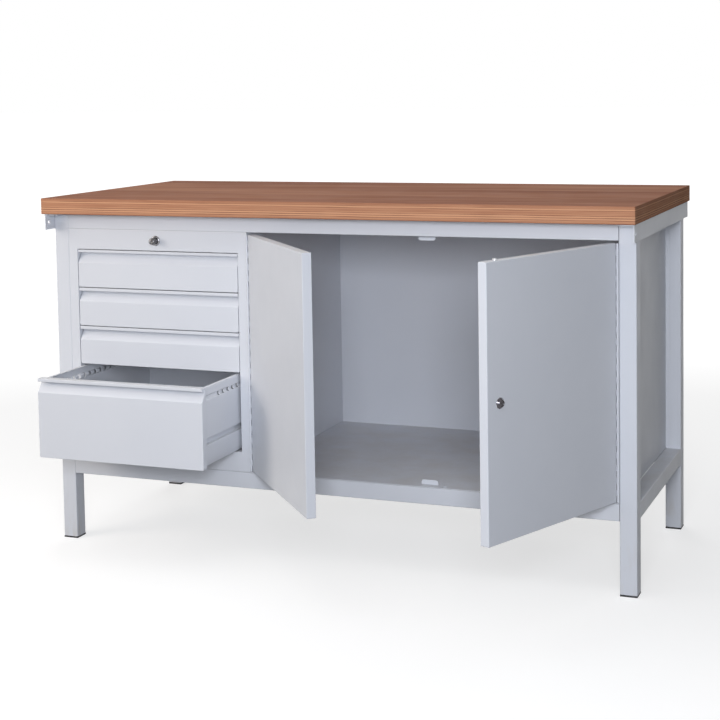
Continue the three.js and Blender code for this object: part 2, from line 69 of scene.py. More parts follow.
# %% Camera
PICTURE_SIDE = 720
FOCAL_PIXELS = 1541.6
AXIS_ROW = 200
SENSOR_WIDTH = 36.0
CAMERA_PLACE = (1.4153, -3.4625, 1.1519)
CAMERA_TILT, CAMERA_ROLL, CAMERA_HEADING = 85.719, 0.920, 21.493


def put(name, data):
    """Adds an object to the scene."""
    made = bpy.data.objects.new(name, data)
    scene.collection.objects.link(made)
    return made


camera_data = bpy.data.cameras.new("camera")
camera_data.sensor_width = SENSOR_WIDTH
camera_data.lens = FOCAL_PIXELS / PICTURE_SIDE * SENSOR_WIDTH
camera_data.shift_y = (AXIS_ROW - PICTURE_SIDE / 2) / PICTURE_SIDE
camera = put("camera", camera_data)
camera.location = CAMERA_PLACE
camera.rotation_euler = [math.radians(angle) for angle in (CAMERA_TILT, CAMERA_ROLL, CAMERA_HEADING)]
scene.camera = camera
scene.view_settings.view_transform = "Standard"
print("lens", round(camera_data.lens, 1), "mm, shift", round(camera_data.shift_y, 3))

# %% [markdown]
# ## Small helpers for node trees
# Materials in Blender are trees of nodes. Adding nodes one by one with the mouse is slow to repeat, so a few
# short functions do what the hand would do: add a node, set it, and feed its sockets with a plain value or
# with another node's output. Nearly all of them hand back an output that the next one can use.

# %% Node helpers
NOISE_LOW, NOISE_HIGH = 0.3, 0.7


def feed(tree, socket, value):
    """Feeds a socket from another node's output, or sets it to a plain value."""
    if isinstance(value, bpy.types.NodeSocket):
        tree.links.new(value, socket)
    else:
        socket.default_value = value


def add(tree, kind, inputs=None, **settings):
    made = tree.nodes.new("ShaderNode" + kind)
    for key, value in settings.items():
        setattr(made, key, value)
    for key, value in (inputs or {}).items():
        feed(tree, made.inputs[key], value)
    return made


def calc(tree, operation, first, second=0.0):
    return add(tree, "Math", {0: first, 1: second}, operation=operation).outputs[0]


def vector_calc(tree, operation, first, second=(0, 0, 0)):
    """Both outputs of the node: Vector, and Value for a result that is one number."""
    return add(tree, "VectorMath", {0: first, 1: second}, operation=operation).outputs


def remap(tree, value, low, high, to_low=0.0, to_high=1.0):
    """Moves a value from one span to another and clamps it there."""
    spans = {"Value": value, "From Min": low, "From Max": high, "To Min": to_low, "To Max": to_high}
    return add(tree, "MapRange", spans).outputs[0]


def spread(tree, noisy, low, high):
    """Spreads a noise, which hardly leaves the span NOISE_LOW to NOISE_HIGH, from low to high."""
    return remap(tree, noisy, NOISE_LOW, NOISE_HIGH, low, high)


def mix_colours(tree, factor, first, second):
    return add(tree, "Mix", {0: factor, 6: first, 7: second}, data_type="RGBA").outputs[2]


def own_place(tree):
    """A point of the surface in the piece's own axes, so that a pattern stays with a piece that moves."""
    return add(tree, "TexCoord").outputs["Object"]


def upward(tree, vector):
    return add(tree, "SeparateXYZ", {0: vector}).outputs["Z"]


def facing_up(tree):
    """1 where the surface faces up, 0 on a wall and -1 where it faces down."""
    return upward(tree, add(tree, "NewGeometry").outputs["Normal"])


def noise(tree, vector, scale, detail=2.0, roughness=0.5):
    """Scale is the number of spots to the metre, and detail the number of finer layers."""
    sockets = {"Vector": vector, "Scale": scale, "Detail": detail, "Roughness": roughness}
    return add(tree, "TexNoise", sockets).outputs[0]


def streaks(tree, vector, scales, detail=2.0, roughness=0.5):
    """Noise with a scale of its own along each axis; the axis with the lowest is the way the streaks run."""
    return noise(tree, vector_calc(tree, "MULTIPLY", vector, scales)["Vector"], 1.0, detail, roughness)


print("node helpers ready")

# %% [markdown]
# ## Node groups for effects that several finishes share
# The same few effects come back in paint, zinc and wood: a painted highlight along edges, which on plastic is a
# rubbed edge, dust that settles, with a painted warm bounce in the grey paint, and fine scratches. Each is built
# once as a node group with named sockets and then placed in a material with values of its own. A group only
# hands out colours, masks and heights; the shader stays in the material.

# %% Group helpers
VALUE, COLOUR = "NodeSocketFloat", "NodeSocketColor"


def new_group(name, **inputs):
    """A group and its inputs, named with their defaults: a tuple is a colour, and _ stands for a space."""
    group = bpy.data.node_groups.new(name, "ShaderNodeTree")
    for key, default in inputs.items():
        kind = COLOUR if isinstance(default, tuple) else VALUE
        socket = group.interface.new_socket(key.replace("_", " "), in_out="INPUT", socket_type=kind)
        socket.default_value = default
    print("group:", name)
    return group, group.nodes.new("NodeGroupInput").outputs


def hand_out(group, **results):
    """Ends a group with an output for each result."""
    for label, result in results.items():
        kind = COLOUR if result.type == "RGBA" else VALUE
        group.interface.new_socket(label, in_out="OUTPUT", socket_type=kind)
    end = group.nodes.new("NodeGroupOutput")
    for label, result in results.items():
        feed(group, end.inputs[label], result)
    return group


def place(tree, group, **values):
    """Puts a group into a material with values for its inputs, named as in new_group."""
    made = tree.nodes.new("ShaderNodeGroup")
    made.node_tree = group
    for key, value in values.items():
        feed(tree, made.inputs[key.replace("_", " ")], value)
    return made.outputs


print("group helpers ready")

# %% [markdown]
# ## Edge highlight and rub
# A thin line along each edge is made lighter. On paint and metal it is a painted highlight, where a rounded
# edge would catch the light; on black plastic it is where the plastic is rubbed. Blender's Bevel node gives the
# normal that the surface would have if its edges were round. Where that differs from the true normal there is
# an edge near, which makes a mask with no painting by hand.

# %% Group: edge highlight and rub
SAME_NORMAL, FOLDED_NORMAL = 0.995, 0.80


def make_edge_highlight_and_rub():
    group, given = new_group("edge highlight and rub", Radius=2 * MM, Amount=0.5)
    rounded = add(group, "Bevel", {"Radius": given["Radius"]}, samples=4).outputs[0]
    true_normal = add(group, "NewGeometry").outputs["True Normal"]
    agreement = vector_calc(group, "DOT_PRODUCT", rounded, true_normal)["Value"]
    near_edge = remap(group, agreement, SAME_NORMAL, FOLDED_NORMAL)
    patchy = spread(group, noise(group, own_place(group), 60.0, 3.0), 0.5, 1.0)
    # A mask of the edges: a painted highlight on paint and metal, a rubbed edge on plastic.
    strength = calc(group, "MULTIPLY", near_edge, patchy)
    return hand_out(group, Mask=calc(group, "MULTIPLY", strength, given["Amount"]))


edge_highlight_and_rub = make_edge_highlight_and_rub()

# %% [markdown]
# ## Powder coat
# Powder coat is sprayed on dry and melted in an oven. It sets to a satin skin with a faint grain, like the
# skin of an orange seen from far off, and its tone drifts a little over a large panel. Fine noise gives the
# grain as a height for a Bump node, and broad noise gives the drift in tone and gloss.

# %% Group: powder coat
def make_powder_coat():
    group, given = new_group("powder coat", Tone=(0.7, 0.7, 0.7, 1), Second_Tone=(0.65, 0.65, 0.65, 1),
                             Grain=600.0, Gloss=0.45)
    spot = own_place(group)
    drift = remap(group, noise(group, spot, 2.6, 4.0, 0.6), 0.35, 0.68)
    sheen = spread(group, noise(group, spot, 21.0, 3.0), -0.05, 0.05)
    return hand_out(
        group,
        Colour=mix_colours(group, drift, given["Tone"], given["Second Tone"]),
        Roughness=calc(group, "ADD", given["Gloss"], sheen),
        Height=noise(group, spot, given["Grain"], 2.0, 0.55),
    )


powder_coat = make_powder_coat()

# %% [markdown]
# ## Settled dust and bounce
# In a workshop dust lies on whatever faces up, and shoes scuff whatever is near the floor. Both can be read
# from the surface itself: the upward part of the normal and the height above the floor. Noise breaks the two
# masks up so that they have no straight border. In the grey paint the same mask also carries a painted warm
# bounce of light from the wooden top.

# %% Group: settled dust and bounce
STEEP_NORMAL, LEVEL_NORMAL = 0.6, 0.95


def make_settled_dust_and_bounce():
    group, given = new_group("settled dust and bounce", Amount=0.3, Scuff_Height=0.18)
    spot = own_place(group)
    lying = remap(group, facing_up(group), STEEP_NORMAL, LEVEL_NORMAL)
    cloudy = remap(group, noise(group, spot, 9.0, 5.0, 0.65), 0.35, 0.75)
    low = remap(group, upward(group, spot), 0.0, given["Scuff Height"], 1.0, 0.0)
    scuffs = remap(group, streaks(group, spot, (60.0, 60.0, 14.0), 4.0), 0.5, 0.72)
    settled, scuffed = calc(group, "MULTIPLY", lying, cloudy), calc(group, "MULTIPLY", low, scuffs)
    either = calc(group, "MAXIMUM", settled, scuffed)
    return hand_out(group, Mask=calc(group, "MULTIPLY", either, given["Amount"]))


settled_dust_and_bounce = make_settled_dust_and_bounce()

# %% [markdown]
# ## Drawn metal
# Rods, pins and lock parts are drawn or turned, which leaves fine lines in one direction. Noise that is
# stretched far along one axis makes such lines. They change the tone, the gloss and the height a little, so
# one group gives all three.

# %% Group: drawn metal
def make_drawn_metal():
    group, given = new_group("drawn metal", Tone=(0.6, 0.6, 0.6, 1), Dull_Tone=(0.5, 0.5, 0.5, 1),
                             Gloss=0.35)
    spot = own_place(group)
    lines = streaks(group, spot, (900.0, 900.0, 12.0), 3.0, 0.6)
    clouds = noise(group, spot, 45.0, 4.0, 0.6)
    shade = remap(group, calc(group, "ADD", lines, clouds), 0.75, 1.25)
    return hand_out(
        group,
        Colour=mix_colours(group, shade, given["Dull Tone"], given["Tone"]),
        Roughness=calc(group, "ADD", given["Gloss"], spread(group, clouds, -0.08, 0.08)),
        Height=lines,
    )


drawn_metal = make_drawn_metal()

# %% [markdown]
# ## Materials: one shader, several effects
# Each finish is one material with one Principled shader. What is the same all over, such as how metallic it
# is, is set straight on the shader. What changes over the surface comes from the groups. A Bump node turns
# the height into a normal; its distance is in metres, so it can be as small as the real grain.

# %% Material helpers
def new_material(name, metallic=0.0, specular=0.5):
    material = bpy.data.materials.new(name)
    material.use_nodes = True
    shader = material.node_tree.nodes["Principled BSDF"]
    shader.inputs["Metallic"].default_value = metallic
    shader.inputs["Specular IOR Level"].default_value = specular
    print("material:", name)
    return material, material.node_tree


def dress(material, colour, roughness, height, depth, strength):
    tree = material.node_tree
    shader = tree.nodes["Principled BSDF"]
    feed(tree, shader.inputs["Base Color"], colour)
    feed(tree, shader.inputs["Roughness"], roughness)
    bump = add(tree, "Bump", {"Height": height, "Distance": depth, "Strength": strength})
    feed(tree, shader.inputs["Normal"], bump.outputs[0])
    return material


print("material helpers ready")

# %% [markdown]
# ## Light grey powder coat
# Nearly all of the bench wears one paint, a cool light grey. Its colour is written as it should look under a
# plain light. Folds are a touch lighter, a painted highlight. What faces up, and what is scuffed near the floor,
# is a touch duller and tan: dust, whose tan is also a painted warm bounce of light from the wooden top.

# %% Material: grey paint
PAINT = (0.660, 0.680, 0.725, 1)
PAINT_DRIFT = (0.635, 0.657, 0.705, 1)
# A painted highlight for the folds.
PAINTED_EDGE_HIGHLIGHT = (0.78, 0.79, 0.81, 1)
# Dust, tinted tan as a painted warm bounce of light from the wooden top.
DUST_AND_WOOD_BOUNCE = (0.52, 0.48, 0.42, 1)


def make_grey_paint():
    material, tree = new_material("grey_paint", specular=0.25)
    coat = place(tree, powder_coat, Tone=PAINT, Second_Tone=PAINT_DRIFT, Grain=620.0, Gloss=0.44)
    folds = place(tree, edge_highlight_and_rub, Radius=2.0 * MM, Amount=0.55)
    dust = place(tree, settled_dust_and_bounce, Amount=0.45, Scuff_Height=0.16)
    # Folds get the painted highlight, then dust with its painted warm bounce.
    lit = mix_colours(tree, folds["Mask"], coat["Colour"], PAINTED_EDGE_HIGHLIGHT)
    dust_and_bounce = mix_colours(tree, dust["Mask"], lit, DUST_AND_WOOD_BOUNCE)
    return dress(material, dust_and_bounce, coat["Roughness"], coat["Height"], depth=0.05 * MM, strength=0.45)


grey_paint = make_grey_paint()

# %% [markdown]
# ## Zinc and dark chrome
# Rails, pins and rods are zinc plated: pale, a little cloudy, with drawn lines. The locks are smoother: the
# ring of the drawers' lock is bright chrome, its nose a greyer one, and the door's lock a dark one. The greyer
# and the dark tone are the chrome darkened, a painted dark reflection of the room. All of them use the same
# group, and every metal edge gets a painted highlight.

# %% Materials: zinc and chrome
METAL_EDGE_HIGHLIGHT = (0.85, 0.85, 0.87, 1)
# Tone, dull tone, roughness and depth of the drawn lines.
METALS = {
    "bright_steel": ((0.62, 0.63, 0.65, 1), (0.46, 0.47, 0.49, 1), 0.46, 0.02 * MM),
    "chrome": ((0.41, 0.405, 0.42, 1), (0.24, 0.24, 0.255, 1), 0.20, 0.005 * MM),
    # The chrome darkened twice: a painted dark reflection of the room.
    "dark_reflection_chrome": ((0.110, 0.104, 0.114, 1), (0.050, 0.047, 0.054, 1), 0.16, 0.005 * MM),
    "dim_reflection_chrome": ((0.190, 0.185, 0.192, 1), (0.105, 0.102, 0.107, 1), 0.20, 0.005 * MM),
}


def make_drawn_material(name, tone, dull, gloss, depth):
    material, tree = new_material(name, metallic=1.0)
    metal = place(tree, drawn_metal, Tone=tone, Dull_Tone=dull, Gloss=gloss)
    folds = place(tree, edge_highlight_and_rub, Radius=0.8 * MM, Amount=0.4)
    # Lighter edges: a painted highlight.
    colour = mix_colours(tree, folds["Mask"], metal["Colour"], METAL_EDGE_HIGHLIGHT)
    return dress(material, colour, metal["Roughness"], metal["Height"], depth, strength=0.4)


metals = {name: make_drawn_material(name, *look) for name, look in METALS.items()}

# %% [markdown]
# ## Moulded black plastic
# The foot caps and the guides of the locking rods are moulded. Moulded plastic has a fine, even grain from
# the mould and greys a little where it rubs on the floor.

# %% Material: black plastic
PLASTIC = (0.022, 0.022, 0.024, 1)
PLASTIC_RUBBED = (0.060, 0.060, 0.062, 1)
PLASTIC_DUST = (0.14, 0.135, 0.13, 1)


def make_black_plastic():
    material, tree = new_material("black_plastic", specular=0.4)
    spot = own_place(tree)
    rubbed = place(tree, edge_highlight_and_rub, Radius=1.5 * MM, Amount=0.8)
    dust = place(tree, settled_dust_and_bounce, Amount=0.5, Scuff_Height=0.05)
    colour = mix_colours(tree, rubbed["Mask"], PLASTIC, PLASTIC_RUBBED)
    dusty = mix_colours(tree, dust["Mask"], colour, PLASTIC_DUST)
    gloss = spread(tree, noise(tree, spot, 80.0, 3.0), 0.48, 0.62)
    return dress(material, dusty, gloss, noise(tree, spot, 1500.0), depth=0.04 * MM, strength=0.6)


black_plastic = make_black_plastic()

# %% [markdown]
# ## Veneer grain and the layers of plywood
# The top is plywood. Its broad faces show one veneer with grain along the bench. Its edges show every layer:
# pale and dark veneers in turn with thin dark seams, all slightly wavy. Two groups make these two looks.
# The first stretches noise along the bench. The second looks a spot's height up in a list of plies.

# %% Group: veneer grain
STREAK_SHARE, BAND_SHARE, BROAD_SHARE = 0.30, 0.35, 0.35


def make_veneer_grain():
    group, given = new_group("veneer grain", Light=(0.5, 0.3, 0.2, 1), Dark=(0.3, 0.16, 0.1, 1), Pores=0.35)
    spot = own_place(group)
    sway = remap(group, streaks(group, spot, (1.3, 3.0, 3.0)), 0.0, 1.0, -0.03, 0.03)
    bend = add(group, "CombineXYZ", {"Y": sway}).outputs[0]
    flowing = vector_calc(group, "ADD", spot, bend)["Vector"]
    thin = streaks(group, flowing, (1.5, 42.0, 42.0), 6.0, 0.62)
    bands = streaks(group, flowing, (1.1, 13.0, 13.0), 3.0, 0.55)
    broad = streaks(group, flowing, (0.8, 4.5, 4.5))
    figure = calc(group, "MULTIPLY", thin, STREAK_SHARE)
    for layer, share in ((bands, BAND_SHARE), (broad, BROAD_SHARE)):
        figure = calc(group, "ADD", figure, calc(group, "MULTIPLY", layer, share))
    wood = mix_colours(group, remap(group, figure, 0.36, 0.64), given["Dark"], given["Light"])
    pores = remap(group, streaks(group, flowing, (16.0, 520.0, 520.0)), 0.60, 0.72)
    pitted = calc(group, "MULTIPLY", pores, given["Pores"])
    colour = mix_colours(group, pitted, wood, given["Dark"])
    return hand_out(group, Colour=colour, Height=calc(group, "SUBTRACT", thin, pores))


veneer_grain = make_veneer_grain()

# %% Group: plywood layers
# Thickness in millimetres and tone from 0, a dark seam, to 1, a pale veneer, from the underside up.
PLIES = (
    (1.4, 0.15), (3.0, 0.55), (2.2, 0.68), (1.1, 0.05), (3.3, 0.95), (1.3, 0.10), (3.3, 1.00), (0.9, 0.12),
    (3.1, 0.62), (3.2, 0.50), (3.1, 0.60), (1.0, 0.18), (3.2, 0.96), (0.9, 0.35), (3.1, 0.50), (2.6, 0.38),
)
PLY_SUMS = list(accumulate(thickness for thickness, tone in PLIES))
PLY_SHARES = [height / PLY_SUMS[-1] for height in PLY_SUMS]
SEAM_TONE, DARKEST_TONE = 0.40, 0.05
PLY_WAVE = 0.8 * MM
worktop_low, worktop_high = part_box("worktop")
board = worktop_high.z - worktop_low.z


def ply_ramp(group, share):
    """Tone of the veneer at a share of the board's height: one step of the ramp for each ply."""
    ramp = add(group, "ValToRGB", {"Fac": share})
    ramp.color_ramp.interpolation = "CONSTANT"
    stops = ramp.color_ramp.elements
    stops.remove(stops[1])
    for number, (thickness, tone) in enumerate(PLIES):
        stop = stops.new(PLY_SHARES[number - 1]) if number else stops[0]
        stop.color = (tone, tone, tone, 1)
    return ramp.outputs["Color"]


def make_ply_layers():
    group, given = new_group("plywood layers", Underside=0.84, Board=40 * MM, Light=(0.6, 0.3, 0.18, 1),
                             Dark=(0.4, 0.18, 0.1, 1), Seam=(0.15, 0.07, 0.05, 1))
    spot = own_place(group)
    sway = remap(group, streaks(group, spot, (4.0, 4.0, 30.0), 3.0), 0.2, 0.8, -PLY_WAVE, PLY_WAVE)
    wavy = calc(group, "ADD", upward(group, spot), sway)
    share = calc(group, "DIVIDE", calc(group, "SUBTRACT", wavy, given["Underside"]), given["Board"])
    fibres = streaks(group, spot, (9.0, 9.0, 800.0), 4.0, 0.6)
    shade = calc(group, "ADD", ply_ramp(group, share), remap(group, fibres, 0.25, 0.75, -0.28, 0.28))
    wood = mix_colours(group, remap(group, shade, SEAM_TONE, 1.0), given["Dark"], given["Light"])
    broken = remap(group, streaks(group, spot, (11.0, 11.0, 90.0), 3.0), 0.36, 0.60)
    seam = calc(group, "MULTIPLY", remap(group, shade, SEAM_TONE, DARKEST_TONE), broken)
    colour = mix_colours(group, seam, wood, given["Seam"])
    return hand_out(group, Colour=colour, Height=calc(group, "SUBTRACT", fibres, seam))


ply_layers = make_ply_layers()

# %% [markdown]
# ## Plywood
# One material serves the whole top. How far the normal points up or down decides whether a spot is a broad
# face or an edge, so the two looks need no separate mesh parts. A thin clear finish gives a satin gloss.

# %% Material: plywood
FACE_LIGHT = (0.46, 0.235, 0.150, 1)
FACE_DARK = (0.24, 0.098, 0.064, 1)
EDGE_LIGHT = (0.60, 0.325, 0.190, 1)
EDGE_DARK = (0.40, 0.185, 0.108, 1)
SEAM_LINE = (0.17, 0.070, 0.048, 1)
EDGE_NORMAL, FACE_NORMAL = 0.55, 0.80


def make_plywood():
    material, tree = new_material("plywood", specular=0.02)
    face = place(tree, veneer_grain, Light=FACE_LIGHT, Dark=FACE_DARK, Pores=0.4)
    layers = place(tree, ply_layers, Underside=worktop_low.z, Board=board,
                   Light=EDGE_LIGHT, Dark=EDGE_DARK, Seam=SEAM_LINE)
    flat = remap(tree, calc(tree, "ABSOLUTE", facing_up(tree)), EDGE_NORMAL, FACE_NORMAL)
    colour = mix_colours(tree, flat, layers["Colour"], face["Colour"])
    height = remap(tree, flat, 0.0, 1.0, layers["Height"], face["Height"])
    gloss = spread(tree, noise(tree, own_place(tree), 14.0, 4.0), 0.60, 0.74)
    return dress(material, colour, gloss, height, depth=0.12 * MM, strength=0.5)


plywood = make_plywood()

# %% [markdown]
# ## Rounding and smoothing without touching the measured meshes
# No real edge is perfectly sharp: a fold, a sawn tube end or a moulded corner catches a thin line of light.
# Modifiers give the measured solids that rounding and leave their meshes as they are. Weld joins split
# corners, Decimate merges triangles that lie in one plane, and Bevel rounds what is left. A small geometry
# node tree then shades shallow angles smooth, and Weighted Normal keeps the broad faces looking flat.

# %% Rounding helpers
SMOOTH_BELOW = math.radians(50)
ROUND_ABOVE = math.radians(30)
FLAT_BELOW = math.radians(0.5)
WELD_WITHIN = 0.01 * MM


def make_smoothing():
    tree = bpy.data.node_groups.new("smooth shallow edges", "GeometryNodeTree")
    for way in ("INPUT", "OUTPUT"):
        tree.interface.new_socket("Geometry", in_out=way, socket_type="NodeSocketGeometry")
    kinds = ("NodeGroupInput", "GeometryNodeSetShadeSmooth", "GeometryNodeSetShadeSmooth", "NodeGroupOutput",
             "GeometryNodeInputMeshEdgeAngle", "FunctionNodeCompare")
    start, all_faces, sharp_edges, end, angle, steep = [tree.nodes.new(kind) for kind in kinds]
    sharp_edges.domain = "EDGE"
    sharp_edges.inputs["Shade Smooth"].default_value = False
    steep.operation = "GREATER_THAN"
    steep.inputs["B"].default_value = SMOOTH_BELOW
    tree.links.new(angle.outputs["Unsigned Angle"], steep.inputs["A"])
    tree.links.new(steep.outputs[0], sharp_edges.inputs["Selection"])
    for before, after in ((start, all_faces), (all_faces, sharp_edges), (sharp_edges, end)):
        tree.links.new(before.outputs[0], after.inputs[0])
    return tree


smoothing = make_smoothing()


def rounded_edges(piece, radius, steps=2):
    bevel = piece.modifiers.new("rounded edges", "BEVEL")
    bevel.width = radius
    bevel.segments = steps
    bevel.limit_method = "ANGLE"
    bevel.angle_limit = ROUND_ABOVE
    return piece


def smoothed(piece):
    piece.modifiers.new("smooth", "NODES").node_group = smoothing
    piece.modifiers.new("flat faces", "WEIGHTED_NORMAL").keep_sharp = True


def finish_node(name, material, radius):
    """Gives a measured node its finish and its rounded edges."""
    node = nodes[name]
    for slot in node.material_slots:
        slot.material = material
    node.modifiers.new("weld", "WELD").merge_threshold = WELD_WITHIN
    planes = node.modifiers.new("planes", "DECIMATE")
    planes.decimate_type = "DISSOLVE"
    planes.angle_limit = FLAT_BELOW
    rounded_edges(node, radius)
    smoothed(node)


print("rounding helpers ready")

# %% [markdown]
# ## Finishes for the measured nodes
# The record says which finish each node has. Going through its list gives every node a material, and the
# radius follows what the node is made of: tube and moulded caps are rounder than thin sheet.

# %% Dress the measured nodes
FINISHES = {"grey_paint": grey_paint, "plywood": plywood, "black_plastic": black_plastic, **metals}
SHEET_RADIUS, TUBE_RADIUS, HINGE_RADIUS = 0.4 * MM, 0.8 * MM, 0.2 * MM
TUBE_NAMES = ("leg", "foot", "lower", "rear", "front")


def edge_radius(name):
    if name.startswith("hinge"):
        return HINGE_RADIUS
    return TUBE_RADIUS if name.startswith(TUBE_NAMES) else SHEET_RADIUS


for part in frame["record"]["subparts"]:
    finish_node(part["node"], FINISHES[part["material_slot"]], edge_radius(part["node"]))

# %% [markdown]
# ## New pieces
# Some measured solids stand for a finer thing, such as a folded sheet or a turned lock. A new mesh takes the
# solid's place: it rides on the same body, names the same finish and hides the solid. The helpers make an
# object from a shape, join outlines to a solid, turn a profile about an axis, and cut shapes out of a piece.

# %% Helpers for new pieces
ROUND_SIDES = 48
MERGE_WITHIN = 0.001 * MM
new_pieces = []


def mesh_from(name, shape, where=None):
    if where is not None:
        shape.transform(where)
    mesh = bpy.data.meshes.new(name)
    shape.to_mesh(mesh)
    shape.free()
    return mesh


def show(name, shape, body, slot_name, *replaced, where=None, finish=None):
    """Makes a piece of the bench; its finish is the slot's own unless another is named."""
    mesh = mesh_from(name, shape, where)
    mesh.materials.append(FINISHES[finish or slot_name])
    piece = put(name, mesh)
    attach(piece, body)
    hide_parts(*replaced)
    new_pieces.append(piece)
    return piece


def folded(piece, fold, steps, thickness):
    """Rounds the folds of an open skin and gives it the thickness of its sheet."""
    rounded_edges(piece, fold, steps)
    sheet = piece.modifiers.new("sheet", "SOLIDIFY")
    sheet.thickness = thickness
    sheet.offset = -1
    return piece


def closed_up(shape):
    bmesh.ops.remove_doubles(shape, verts=shape.verts, dist=MERGE_WITHIN)
    bmesh.ops.recalc_face_normals(shape, faces=shape.faces)


def chain(shape, rings):
    """Joins closed rings of points with faces, from one ring to the next."""
    for ring, after in zip(rings, rings[1:]):
        for i, point in enumerate(ring):
            j = (i + 1) % len(ring)
            shape.faces.new((point, ring[j], after[j], after[i]))


def loft(shape, rings):
    """A closed solid through rings of points, with a face over the first and the last ring."""
    chain(shape, rings)
    shape.faces.new(rings[0])
    shape.faces.new(rings[-1])
    closed_up(shape)


def arc(centre, size, start, end, steps):
    """Points of a round stretch of an outline; a quarter turn leads from the face to the side."""
    turns = [start + (end - start) * step / steps for step in range(steps + 1)]
    return [(centre[0] + size[0] * math.sin(turn), centre[1] - size[1] * math.cos(turn)) for turn in turns]


def spin(shape, profile, is_ring, sides=ROUND_SIDES):
    """Spins (radius, height) pairs about the local z axis; a ring's profile closes on itself."""
    points = [shape.verts.new((radius, 0.0, height)) for radius, height in profile]
    pairs = zip(points, points[1:] + points[:1]) if is_ring else zip(points, points[1:])
    edges = [shape.edges.new(pair) for pair in pairs]
    bmesh.ops.spin(shape, geom=points + edges, axis=(0, 0, 1), cent=(0, 0, 0), angle=2 * math.pi,
                   steps=sides, use_merge=True)


def turned(profile, is_ring=False):
    shape = bmesh.new()
    spin(shape, profile, is_ring)
    closed_up(shape)
    return shape


def carve(piece, *tools):
    """Cuts tool shapes out of a piece and keeps the result as its mesh."""
    cutters = [put("cutter", mesh_from("cutter", tool)) for tool in tools]
    for cutter in cutters:
        change = piece.modifiers.new("carve", "BOOLEAN")
        change.object = cutter
        change.solver = "EXACT"
    bpy.context.view_layer.update()
    seen = piece.evaluated_get(bpy.context.evaluated_depsgraph_get())
    result = bpy.data.meshes.new_from_object(seen)
    piece.modifiers.clear()
    piece.data = result
    for cutter in cutters:
        bpy.data.objects.remove(cutter)
    return piece


def facing(point, axis):
    """A frame at a point with z along a level axis, x level and y up."""
    z = Vector(axis).normalized()
    x = Vector((0, 0, 1)).cross(z).normalized()
    turn = Matrix((x, z.cross(x), z)).transposed()
    return Matrix.Translation(point) @ turn.to_4x4()


print("piece helpers ready")

# %% [markdown]
# ## The worktop
# Veneers are glued into one board, and its sawn edges are eased with sandpaper. A box with a wood
# picture would do from far away. Here the edge is a stack of outlines, each a little narrower where two
# veneers meet, so that the layers also catch light, and the first and last outlines round the rims.

# %% Worktop
CORNER_RADIUS = 2.0 * MM
CORNER_STEPS = 4
RIM_EASE = 1.3 * MM
RIM_STEPS = 4
LAYER_GROOVE = 0.18 * MM


def board_outline(shape, inset, height):
    middle, half = (worktop_low + worktop_high) / 2, (worktop_high - worktop_low) / 2
    radius = CORNER_RADIUS - inset
    points = []
    for quarter, (right, back) in enumerate(((1, 1), (-1, 1), (-1, -1), (1, -1)), start=1):
        centre = (middle.x + right * (half.x - CORNER_RADIUS), middle.y + back * (half.y - CORNER_RADIUS))
        start = quarter * QUARTER_TURN
        points += arc(centre, (radius, radius), start, start + QUARTER_TURN, CORNER_STEPS)
    return [shape.verts.new((x, y, height)) for x, y in points]


def worktop_levels():
    """Pairs of inset and height, from the eased lower rim up to the eased upper rim."""
    rim = arc((RIM_EASE, RIM_EASE), (-RIM_EASE, RIM_EASE), 0.0, QUARTER_TURN, RIM_STEPS)
    lower = [(inset, worktop_low.z + rise) for inset, rise in rim]
    upper = [(inset, worktop_high.z - rise) for inset, rise in reversed(rim)]
    seams = []
    for share in PLY_SHARES[:-1]:
        seam = worktop_low.z + share * board
        seams += [(0.0, seam - LAYER_GROOVE), (LAYER_GROOVE, seam), (0.0, seam + LAYER_GROOVE)]
    return lower + seams + upper


def make_worktop():
    shape = bmesh.new()
    loft(shape, [board_outline(shape, inset, height) for inset, height in worktop_levels()])
    return show("worktop_board", shape, "bench", "plywood", "worktop")


worktop_board = make_worktop()
print("worktop:", len(worktop_board.data.vertices), "points")

# %% [markdown]
# ## Drawer fronts
# A drawer front is one folded sheet: a flat face, a slope that runs back into a grip, and a lip bent over
# it. Its outline seen from the end is drawn once and pulled across the drawer. The lower corners are rounded
# first, in the plane of the face, and then a Bevel modifier rounds all folds. The top drawer closes under
# the frame, so its lip ends a little lower, and the gap above it is as wide as between two drawers.

# %% Drawer fronts
LIP_HEIGHT = 8 * MM
LIP_THICKNESS = 3 * MM
GRIP_DEPTH = 16 * MM
SLOPE_TOP = 12 * MM
SLOPE_FOOT = 34 * MM
FRONT_CORNER, CORNER_SEGMENTS = 3.5 * MM, 5
FRONT_FOLD = 1.1 * MM
FRAME_GAP = 1.0 * MM


def front_outline(low, high, gap):
    """Pairs of depth and height, round the end of a drawer front whose lip ends a gap below its top."""
    face, back, base, top = low.y, high.y, low.z, high.z
    lip_top = top - gap
    under_lip = lip_top - LIP_THICKNESS
    return [
        (face, base), (back, base), (back, lip_top), (face, lip_top), (face, top - LIP_HEIGHT),
        (face + LIP_THICKNESS, top - LIP_HEIGHT), (face + LIP_THICKNESS, under_lip),
        (face + GRIP_DEPTH, under_lip), (face + GRIP_DEPTH, top - SLOPE_TOP), (face, top - SLOPE_FOOT),
    ]


def make_drawer_front(number):
    body = f"drawer_{number}"
    low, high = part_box(f"{body}_front")
    outline = front_outline(low, high, FRAME_GAP if number == 1 else 0.0)
    shape = bmesh.new()
    ends = [[shape.verts.new((x, y, z)) for y, z in outline] for x in (low.x, high.x)]
    loft(shape, ends)
    corners = [shape.edges.get((end[0], end[1])) for end in ends]
    bmesh.ops.bevel(shape, geom=corners, offset=FRONT_CORNER, segments=CORNER_SEGMENTS, profile=0.5,
                    affect="EDGES")
    piece = show(f"{body}_folded_front", shape, body, "grey_paint", f"{body}_front")
    return rounded_edges(piece, FRONT_FOLD, steps=3)


